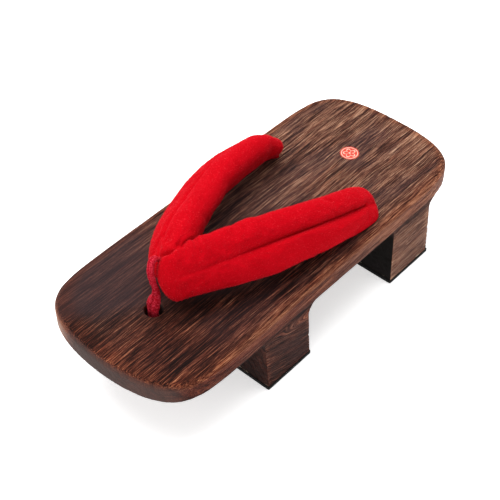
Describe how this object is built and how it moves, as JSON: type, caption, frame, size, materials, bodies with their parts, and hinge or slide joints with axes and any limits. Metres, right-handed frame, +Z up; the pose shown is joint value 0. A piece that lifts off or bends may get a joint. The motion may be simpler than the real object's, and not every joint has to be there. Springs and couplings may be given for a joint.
{
  "type": "geta sandal",
  "caption": "Wooden platform sandal on two teeth, held to the foot by a padded V-shaped strap pair and a toe loop.",
  "frame": {"origin": "on the floor, under the middle of the board's length and width", "axes": "+Z up, +Y from the toe towards the heel, +X across towards the wearer's left"},
  "size_m": [0.1048, 0.24, 0.0816],
  "materials": {
    "burnt_wood": "scorched and brushed, dry open grain",
    "tread_rubber": "matt black sheet",
    "strap_velvet": "matt short-pile red cloth over soft stuffing",
    "loop_crepe": "red crepe",
    "cotton_cord": "natural twisted cotton"
  },
  "bodies": {
    "root": {"wooden_block": "burnt_wood", "front_tread_pad": "tread_rubber", "back_tread_pad": "tread_rubber", "strap_pair": "strap_velvet", "toe_loop": "loop_crepe", "toe_knot": "cotton_cord", "left_knot": "cotton_cord", "right_knot": "cotton_cord"}
  },
  "joints": []
}
